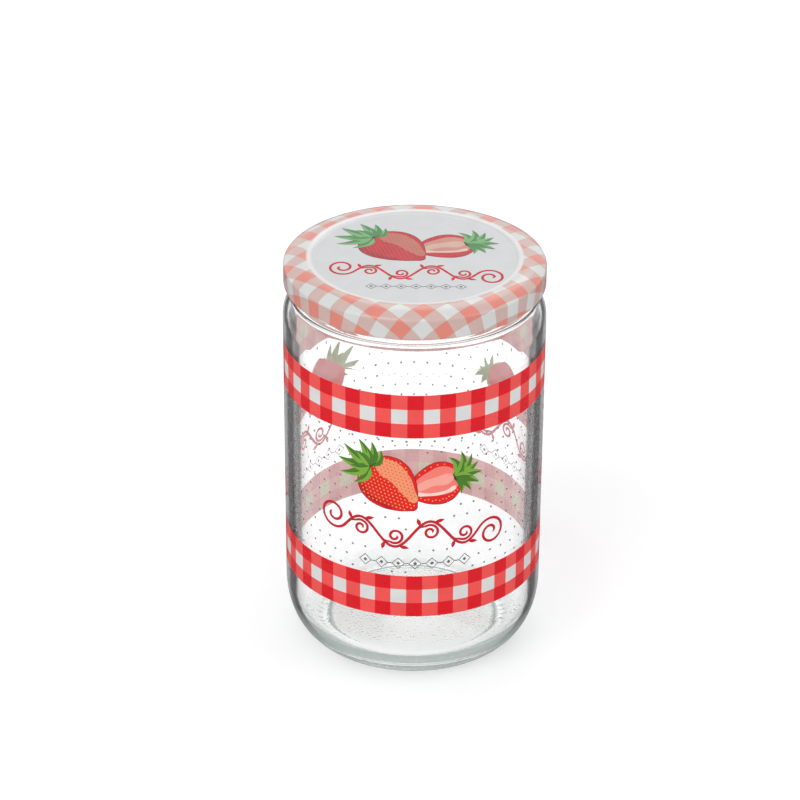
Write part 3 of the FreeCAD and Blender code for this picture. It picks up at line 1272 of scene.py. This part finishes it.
# %% Rows of dots for a third of the jar
DOTS_ROUND, DOT_ROWS = 60, 13
dot_radius = 0.41
first_row, row_step = 44.7, 4.05
fruit_place, scroll_place, lozenge_place = (-1.0, 79.6), (-0.2, 59.0), (0.8, 48.0)
fruit_oval = (20.0, 10.0)   # half the size of the oval round the fruit without dots, mm
REPEATS = 3


def covered_cells():
    """The millimetre squares of the wall that the drawings touch."""
    cells = set()
    for piece, place in ((fruit, fruit_place), (scroll, scroll_place),
                         (lozenges, lozenge_place)):
        cells |= {(round(point.co.x / MM + place[0]), round(point.co.y / MM + place[1]))
                  for point in piece.data.vertices}
    return cells


def draw_dots():
    cells = covered_cells()
    model = add("dot", bpy.ops.mesh.primitive_circle_add, vertices=12,
                radius=dot_radius, fill_type="NGON")
    edit(model)
    bpy.ops.transform.translate(value=(0, 0, INK / 2))
    bpy.ops.mesh.extrude_region_move(TRANSFORM_OT_translate={"value": (0, 0, -INK)})
    close_edit()
    model = finish_flat(model, "dot_grey", 0)
    columns = DOTS_ROUND // REPEATS
    spacing = FULL_TURN * glass_radius / DOTS_ROUND
    places = []
    for row in range(DOT_ROWS):
        height = first_row + row * row_step
        shift = 0.0 if row % 2 else 0.5
        for column in range(-columns // 2, columns // 2):
            x = (column + shift) * spacing
            near = any((round(x) + dx, round(height) + dy) in cells
                       for dx in (-1, 0, 1) for dy in (-1, 0, 1))
            in_fruit = math.hypot((x - fruit_place[0]) / fruit_oval[0],
                                  (height - fruit_place[1]) / fruit_oval[1]) < 1.0
            if not near and not in_fruit:
                places.append((x, height))
    print("dots in one repeat:", len(places))
    return join(sow(model, places), "dots")


dots = draw_dots()

# %% Bend the drawings round the jar, three times
def place_flat(piece, place, wide=1.0, high=1.0, lift=0.0):
    """Scales a flat drawing about its own middle and moves that to a place, in mm."""
    edit(piece)
    bpy.ops.transform.resize(value=(wide, high, 1), center_override=(0, 0, 0))
    bpy.ops.transform.translate(value=(place[0] * MM, place[1] * MM, lift * MM))
    close_edit()


def print_on_jar(drawing, name, place):
    flat = copy_of(drawing, name + "_flat")
    place_flat(flat, place)
    cut_in_strips(flat)
    piece = set_round(flat, name, REPEATS, glass_radius)
    tell(piece)
    return piece


jar_fruit = print_on_jar(fruit, "print_fruit", fruit_place)
jar_scroll = print_on_jar(scroll, "print_scroll", scroll_place)
jar_lozenges = print_on_jar(lozenges, "print_lozenges", lozenge_place)
jar_dots = print_on_jar(dots, "print_dots", (0.0, 0.0))
bpy.data.objects.remove(dots)

# %% [markdown]
# ## Gingham bands
#
# A band is a short length of tube: a cylinder without ends, given a wall by the
# Solidify modifier. The squares are not modelled. Their material counts the squares
# from the angle round the axis and from the height, with the Gingham Checks group.

# %% Band shapes
PAIRS = 26                  # pairs of squares round the jar
band_edges = ((27.8, 43.2), (94.5, 109.9))
band_phase = 0.76           # degrees from the front to the middle of a full column


def band(name, low, high):
    """A thin tube from one height to another."""
    piece = add(name, bpy.ops.mesh.primitive_cylinder_add, vertices=SEGMENTS,
                radius=(glass_radius + layer_height(0) + INK) * MM,
                depth=(high - low) * MM, end_fill_type="NOTHING",
                location=(0, 0, (low + high) / 2 * MM))
    bpy.ops.object.transform_apply(location=True, rotation=True, scale=True)
    modify(piece, "SOLIDIFY", thickness=2 * INK * MM, offset=-1.0)
    smooth(piece)
    tell(piece)
    return piece


bands = [band("band_lower", *band_edges[0]), band("band_upper", *band_edges[1])]

# %% Gingham ink, face and back
BAND_FACE = ((222, 222, 220), (244, 84, 80), (226, 8, 28))      # bare, one dye, both
# the back colours are paler partly as painted light, for the dim inside of the jar
BAND_BACK = ((222, 214, 190), (236, 184, 182), (226, 168, 168))
BAND_PATCHES = 0.05


def gingham_ink(name, low, high, paints, roughness, shine, glow):
    """Checks counted by the angle round the axis and by the height."""
    material, tree, shader = new_material(name)
    split = add_node(tree, "SeparateXYZ", Vector=object_position(tree)).outputs
    behind = math_node(tree, "MULTIPLY", split["Y"], -1.0)
    angle = math_node(tree, "ARCTAN2", split["X"], behind)
    turned = math_node(tree, "SUBTRACT", angle, math.radians(band_phase))
    squares = math_node(tree, "MULTIPLY", turned, 2 * PAIRS / FULL_TURN)
    columns = math_node(tree, "ADD", squares, 1.0)
    height = math_node(tree, "SUBTRACT", split["Z"], (low + high) / 2 * MM)
    rows = math_node(tree, "MULTIPLY", height, 3 / ((high - low) * MM))
    count = add_node(tree, "CombineXYZ", X=columns, Y=rows)
    bare, one, both = [colour(*paint) for paint in paints]
    pattern = use_group(tree, checks, Vector=count.outputs[0],
                        Bare=bare, One_Dye=one, Both_Dyes=both)
    lay_ink(tree, shader, pattern.outputs["Color"], BAND_PATCHES, roughness, shine, glow)
    return material


for piece, edges in zip(bands, band_edges):
    dress(piece, gingham_ink(piece.name + "_ink", *edges, BAND_FACE, roughness=0.25,
                             shine=0.3, glow=0.0),
          gingham_ink(piece.name + "_ink_back", *edges, BAND_BACK, BACK_ROUGHNESS,
                      BACK_SHINE, PAINTED_BACK_GLOW))
    for face in piece.data.polygons:
        inward = face.center.x * face.normal.x + face.center.y * face.normal.y < 0
        face.material_index = 1 if inward else 0

# %% [markdown]
# ## The same drawing on the lid
#
# The lid's panel carries the fruit, the scroll and the lozenges again, a little larger
# or smaller, in softer inks on a pale lacquer. The flat drawings are reused with their
# inks swapped.

# %% Print on the panel
LID_COLOURS = {
    "red": (192, 48, 56), "red_deep": (162, 44, 52), "outline_red": (112, 46, 48),
    "flesh": (206, 140, 126), "flesh_light": (208, 174, 156),
    "flesh_pale": (220, 196, 182), "salmon": (196, 116, 100),
    "seed_yellow": (198, 104, 92), "seed_brown": (150, 90, 76),
    "green": (84, 140, 84), "green_light": (122, 176, 116),
    "outline_green": (44, 72, 48), "script_red": (210, 26, 42),
    "fine_grey": (92, 92, 98),
}
LID_INK_ROUGHNESS = 0.35
swap = {}                   # from an ink of the jar to the same one of the lid
for ink_name, paint in LID_COLOURS.items():
    swap["ink_" + ink_name] = ink("lid_ink_" + ink_name, paint, LID_INK_ROUGHNESS)
    swap["ink_" + ink_name + "_back"] = swap["ink_" + ink_name]


def print_on_lid(drawing, name, place, wide, high):
    piece = copy_of(drawing, name)
    place_flat(piece, place, wide, high, panel_top)
    for number, material in enumerate(piece.data.materials):
        piece.data.materials[number] = swap[material.name]
    tell(piece)
    return piece


lid_prints = [print_on_lid(fruit, "lid_fruit", (0.6, 10.0), 1.1, 1.1),
              print_on_lid(scroll, "lid_scroll", (0.4, -11.4), 0.87, 0.98),
              print_on_lid(lozenges, "lid_lozenges", (0.4, -21.6), 0.86, 0.86)]
for drawing in (fruit, scroll, lozenges):
    bpy.data.objects.remove(drawing)

# %% [markdown]
# ## Glass
#
# Clear glass is a Principled shader with full transmission. Its own slight grey comes
# from absorption through its depth. Where glass is seen at a slant, at the edges and on
# the shoulder, it bends in light from far to the side, and in a room that is darker than
# the white table. Layer Weight gives that slant, and a painted shade darkens the glass's
# colour there, in place of that darker room. The base is pressed unevenly, and the foot
# of the outside is stippled, so both bend light more.
# Lamps would throw a hard dark shadow through a glass shader, so for shadow rays alone
# it is swapped for a nearly clear Transparent one. In the thick foot, light is reflected
# about many times, and a ray that the renderer gives up on is black. The Light Path node
# counts the reflections and the walls passed, and after the fourth reflection or the
# tenth wall the ray meets an even pale grey glow.

# %% Values of the glass
GLASS_EDGE_SHADES = (             # how far the surface is turned away, and the painted edge shade there
    (0.52, WHITE), (0.56, (0.86, 0.85, 0.85, 1)), (0.645, (0.74, 0.72, 0.73, 1)),
    (0.675, (0.08, 0.075, 0.08, 1)), (0.70, (0.01, 0.01, 0.01, 1)),
    (0.79, (0.01, 0.01, 0.01, 1)), (0.86, (0.25, 0.24, 0.25, 1)),
    (1.0, (0.7, 0.69, 0.7, 1)))
UNSHADED_BELOW, SHADED_ABOVE = 4, 16    # the painted edge shade starts between these heights, mm
WAVY, EVEN = 9, 26          # the waves are deepest below the first height, mm
WAVES_DEEPER = 3.0          # how much is added to their depth there
STIPPLED, PLAIN = 2, 7      # the foot is stippled below the first height, mm
STIPPLE_SCALE = 1100.0
MOST_REFLECTIONS, MOST_WALLS = 4, 10    # after these a ray sees the spread light
SPREAD_LIGHT = (0.60, 0.64, 0.62, 1)    # what light is like after a long way in the foot
SHADOW_TINT = (0.97, 0.98, 0.98, 1)
DEPTH_TINT, DEPTH_DENSITY = (0.86, 0.89, 0.88, 1), 40.0
print("the foot is stippled up to", PLAIN, "mm")


# %% Tint and surface of the glass
def painted_edge_shade(tree):
    """A painted shade that darkens the glass as its surface turns away from the viewer."""
    facing = add_node(tree, "LayerWeight", Blend=0.5)
    ramp = add_node(tree, "ValToRGB", Fac=facing.outputs["Facing"])
    stops = ramp.color_ramp.elements
    stops[0].position, stops[0].color = GLASS_EDGE_SHADES[0]
    stops[1].position, stops[1].color = GLASS_EDGE_SHADES[-1]
    for position, tint in GLASS_EDGE_SHADES[1:-1]:
        stops.new(position).color = tint
    return ramp.outputs["Color"]


def pressed_surface(tree, position, height):
    """Slow waves, deeper in the base, and a stipple on the foot, as one normal."""
    waves = use_group(tree, waviness, Vector=position,
                      Waves=30.0, Ripple=110.0, Ripple_Share=0.1)
    in_base = smooth_step(tree, height, EVEN * MM, WAVY * MM)
    deeper = math_node(tree, "MULTIPLY_ADD", in_base, WAVES_DEEPER, 1.0)
    wave_height = math_node(tree, "MULTIPLY", waves.outputs["Height"], deeper)
    at_foot = smooth_step(tree, height, PLAIN * MM, STIPPLED * MM)
    stipple = math_node(tree, "MULTIPLY",
                        noise(tree, position, STIPPLE_SCALE, detail=1.0), at_foot)
    wavy = bump(tree, wave_height, strength=0.25, distance=0.2 * MM)
    return bump(tree, stipple, strength=0.6, distance=0.3 * MM, Normal=wavy)


# %% Glass material
def glass_material():
    material, tree, shader = new_material("clear_glass")
    position = object_position(tree)
    height = add_node(tree, "SeparateXYZ", Vector=position).outputs["Z"]
    above_base = smooth_step(tree, height, UNSHADED_BELOW * MM, SHADED_ABOVE * MM)
    set_up(tree, shader, Roughness=0.0, IOR=1.5, Transmission_Weight=1.0,
           Base_Color=mix_colours(tree, above_base, WHITE, painted_edge_shade(tree)),
           Normal=pressed_surface(tree, position, height))

    path = add_node(tree, "LightPath").outputs
    reflected_on = math_node(tree, "GREATER_THAN", path["Glossy Depth"],
                             MOST_REFLECTIONS - 0.5)
    many_walls = math_node(tree, "GREATER_THAN", path["Ray Depth"], MOST_WALLS - 0.5)
    long_way = math_node(tree, "MAXIMUM", reflected_on, many_walls)
    settled = mix_shaders(tree, long_way, shader,
                          add_node(tree, "Emission", Color=SPREAD_LIGHT))
    shown = mix_shaders(tree, path["Is Shadow Ray"], settled,
                        add_node(tree, "BsdfTransparent", Color=SHADOW_TINT))
    depth = add_node(tree, "VolumeAbsorption", Color=DEPTH_TINT, Density=DEPTH_DENSITY)
    set_up(tree, tree.nodes["Material Output"], Surface=shown.outputs[0],
           Volume=depth.outputs[0])
    return material


dress(jar, glass_material())
print("finish of the jar:", jar.data.materials[0].name)

# %% [markdown]
# ## Lid finishes
#
# Outside, the sheet is printed with soft coral and white checks, set cornerwise to the
# drawing, and the panel inside the crown is left pale. A lighter ring round the panel,
# on the step, is a painted highlight. The lacquer over it is glossy and very slightly
# rippled. Inside, the sheet has a white food lacquer. The seal is a soft pale ring.

# %% The printed outside of the lid
stripe = 5.3                # width of one stripe of the lid's checks, mm
check_start = 38.28         # where the checks meet on the middle line, mm along the sheet
check_aside = -1.0          # how far the checks lie to the right of the middle, mm
panel_edge, ring_edge = 33.6, 35.1      # where the pale panel ends and the checks start; the lighter ring between is a painted highlight, mm


def lid_outside():
    material, tree, shader = new_material("lid_print")
    sheet_map = add_node(tree, "UVMap")
    sheet_map.uv_map = "sheet"
    on_sheet = sheet_map.outputs[0]
    along = check_start / math.sqrt(2) / stripe
    aside = check_aside / math.sqrt(2) / stripe
    turned = add_node(tree, "Mapping", Vector=on_sheet,
                      Rotation=(0, 0, math.radians(45)),
                      Scale=(1 / (stripe * MM), 1 / (stripe * MM), 1),
                      Location=(0.5 - along - aside, 0.5 + along - aside, 0))
    pattern = use_group(tree, checks, Vector=turned.outputs[0],
                        Bare=colour(215, 216, 213), One_Dye=colour(208, 177, 169),
                        Both_Dyes=colour(225, 134, 118))
    length = distance_out(tree, on_sheet)
    # a lighter ring between the panel and the checks: a painted highlight on the step
    on_highlight_ring = edge_step(tree, length, panel_edge * MM, blur=0.6 * MM)
    on_checks = edge_step(tree, length, ring_edge * MM, blur=0.5 * MM)
    pale = mix_colours(tree, on_highlight_ring, colour(206, 207, 207), colour(226, 224, 222))
    printed = mix_colours(tree, on_checks, pale, pattern.outputs["Color"])
    lay_colour(tree, shader, printed, patches=0.03, grain=0.05, roughness=0.3,
               spread=0.12)
    waves = use_group(tree, waviness, Vector=object_position(tree),
                      Waves=90.0, Ripple=900.0, Ripple_Share=0.1)
    set_up(tree, shader, Coat_Weight=0.6, Coat_Roughness=0.08,
           Normal=bump(tree, waves.outputs["Height"], strength=0.15,
                       distance=0.2 * MM))
    return material


# %% The lid's inside, the lugs and the seal
def plain_finish(name, paint, roughness):
    """One uneven colour, for a lacquer or a compound."""
    material, tree, shader = new_material(name)
    lay_colour(tree, shader, colour(*paint), patches=0.1, grain=0.05,
               roughness=roughness)
    return material


def middles(points):
    return [((here[0] + there[0]) / 2, (here[1] + there[1]) / 2)
            for here, there in zip(points, points[1:])]


lid_inside = plain_finish("lid_lacquer", (236, 233, 226), roughness=0.3)
dress(lid, lid_outside(), lid_inside)
dress(lugs, lid_inside)
places = middles(over) + middles(under)
sides = {}
for face in lid.data.polygons:
    place = section_place(face.center)
    if place not in sides:
        sides[place] = 0 if closest(places, *place) < len(over) - 1 else 1
    face.material_index = sides[place]
print("rings of faces on the lid:", len(sides))

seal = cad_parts["lid_seal"]
dress(seal, plain_finish("seal_compound", (222, 218, 206), roughness=0.5))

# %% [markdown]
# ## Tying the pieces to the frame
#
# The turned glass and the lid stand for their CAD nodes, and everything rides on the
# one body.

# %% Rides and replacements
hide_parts("glass_jar")
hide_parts("lid")
on_glass = [jar, jar_fruit, jar_scroll, jar_lozenges, jar_dots] + bands
on_tinplate = [lid, lugs] + lid_prints
for piece in on_glass + on_tinplate:
    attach(piece, "root")

# %% [markdown]
# ## Table top and sky
#
# The table is a wide white disc. Near the jar it is plain paint and shows the shadow;
# further out it turns slowly to pure white, so that no edge is seen. Seen through the
# glass it glows more: painted light that lifts the jar's shadow where it shows through
# the glass. Rays that the glass or the lid only reflect meet a grey table, which keeps
# the glass from looking milky.
# The sky is a soft even light. What mirrors and glass see of it is white near the
# horizon and falls to grey overhead, which gives rounded glass its dark lines.

# %% Table top
TABLE_PAINT, REFLECTED_PAINT = colour(246, 246, 246), colour(128, 126, 127)
NEAR, FAR = 0.12, 0.8       # the table turns white between these distances, m
# THROUGH_GLOW is painted light: the table glows more through the glass, lifting the jar's
# shadow there
CAMERA_GLOW, THROUGH_GLOW, FAR_GLOW = 0.15, 0.26, 0.3


def table_material():
    material, tree, shader = new_material("table_paint")
    path = add_node(tree, "LightPath").outputs
    direct, through = path["Is Camera Ray"], path["Is Transmission Ray"]
    reflected = math_node(tree, "SUBTRACT", path["Is Glossy Ray"], through, clamp=True)
    set_up(tree, shader, Roughness=0.7,
           Base_Color=mix_colours(tree, reflected, TABLE_PAINT, REFLECTED_PAINT))
    near_glow = math_node(tree, "ADD", math_node(tree, "MULTIPLY", direct, CAMERA_GLOW),
                          math_node(tree, "MULTIPLY", through, THROUGH_GLOW))
    far = smooth_step(tree, distance_out(tree, object_position(tree)), NEAR, FAR)
    seen = math_node(tree, "ADD", direct, through, clamp=True)
    far_glow = math_node(tree, "MULTIPLY", math_node(tree, "MULTIPLY", far, FAR_GLOW),
                         seen)
    glow = add_node(tree, "Emission", Strength=math_node(tree, "ADD", near_glow, far_glow))
    total = add_node(tree, "AddShader")
    for socket, part in zip(total.inputs, (shader, glow)):
        plug(tree, socket, part.outputs[0])
    set_up(tree, tree.nodes["Material Output"], Surface=total.outputs[0])
    return material


table = add("table_top", bpy.ops.mesh.primitive_circle_add, vertices=96, radius=6.0,
            fill_type="NGON", location=(0, 0, 0))
dress(table, table_material())

# %% Sky
HORIZON, OVERHEAD = 0.15, 0.75      # how far up, from 0 to 1, the sky turns grey
OVERHEAD_GREY, SKY_LIGHT = (0.56, 0.56, 0.57, 1), (0.78, 0.79, 0.8, 1)


def sky():
    world = bpy.data.worlds.new("studio")
    bpy.context.scene.world = world
    world.use_nodes = True
    tree = world.node_tree
    tree.nodes.clear()
    direction = add_node(tree, "TexCoord").outputs["Generated"]
    split = add_node(tree, "SeparateXYZ", Vector=direction)
    up = smooth_step(tree, split.outputs["Z"], HORIZON, OVERHEAD)
    path = add_node(tree, "LightPath").outputs
    in_glass = math_node(tree, "MAXIMUM", path["Is Glossy Ray"],
                         path["Is Transmission Ray"])
    lighting = mix_colours(tree, in_glass, SKY_LIGHT,
                           mix_colours(tree, up, WHITE, OVERHEAD_GREY))
    backdrop = mix_colours(tree, path["Is Camera Ray"], lighting, WHITE)
    background = add_node(tree, "Background", Color=backdrop)
    add_node(tree, "OutputWorld", Surface=background.outputs[0])


sky()

# %% [markdown]
# ## Lamps and camera
#
# Soft lamps stand in front on both sides and behind, as in a product studio. A narrow
# one between them lays a bright line on the bend at the front of the lid. The lens is
# long, so the sides of the jar stay nearly parallel.

# %% Lamps
LAMPS = {                   # place and size in metres, power in watts
    "key_light": ((-0.7, -0.9, 1.5), (0.8, 0.8), 7.2),
    "fill_light": ((1.1, -0.5, 1.1), (0.7, 0.7), 2.0),
    "back_light": ((0.2, 1.2, 1.2), (0.7, 0.7), 2.0),
    "strip_light": ((-0.05, -1.0, 0.95), (0.6, 0.05), 0.8),
}
look_at = Vector((0, 0, 0.085))
for lamp_name, (place, (wide, high), power) in LAMPS.items():
    lamp = add(lamp_name, bpy.ops.object.light_add, type="AREA", location=place)
    lamp.data.shape = "RECTANGLE"
    lamp.data.size, lamp.data.size_y = wide, high
    lamp.data.energy = power
    lamp.rotation_euler = (look_at - Vector(place)).to_track_quat("-Z", "Y").to_euler()
print("lamps:", ", ".join(LAMPS))

# %% Camera
camera_distance, camera_drop = 1.0052, math.radians(28.59)
camera_roll, camera_lens, camera_shift = 0.008, 136.84, -0.01736
camera_aim = Vector((0, 0, 0.08505))

camera = add("camera", bpy.ops.object.camera_add)
back = Vector((0, -math.cos(camera_drop), math.sin(camera_drop)))
camera.location = camera_aim + back * camera_distance
camera.rotation_mode = "XYZ"
camera.rotation_euler = (math.pi / 2 - camera_drop, 0, 0)
camera.rotation_euler.rotate_axis("Z", camera_roll)
camera.data.lens = camera_lens
camera.data.sensor_width = 36.0
camera.data.shift_x = camera_shift
camera.data.clip_start = 0.05
print("camera at", [round(value, 3) for value in camera.location], "m")
bpy.context.scene.camera = camera
bpy.context.scene.view_settings.view_transform = "Standard"
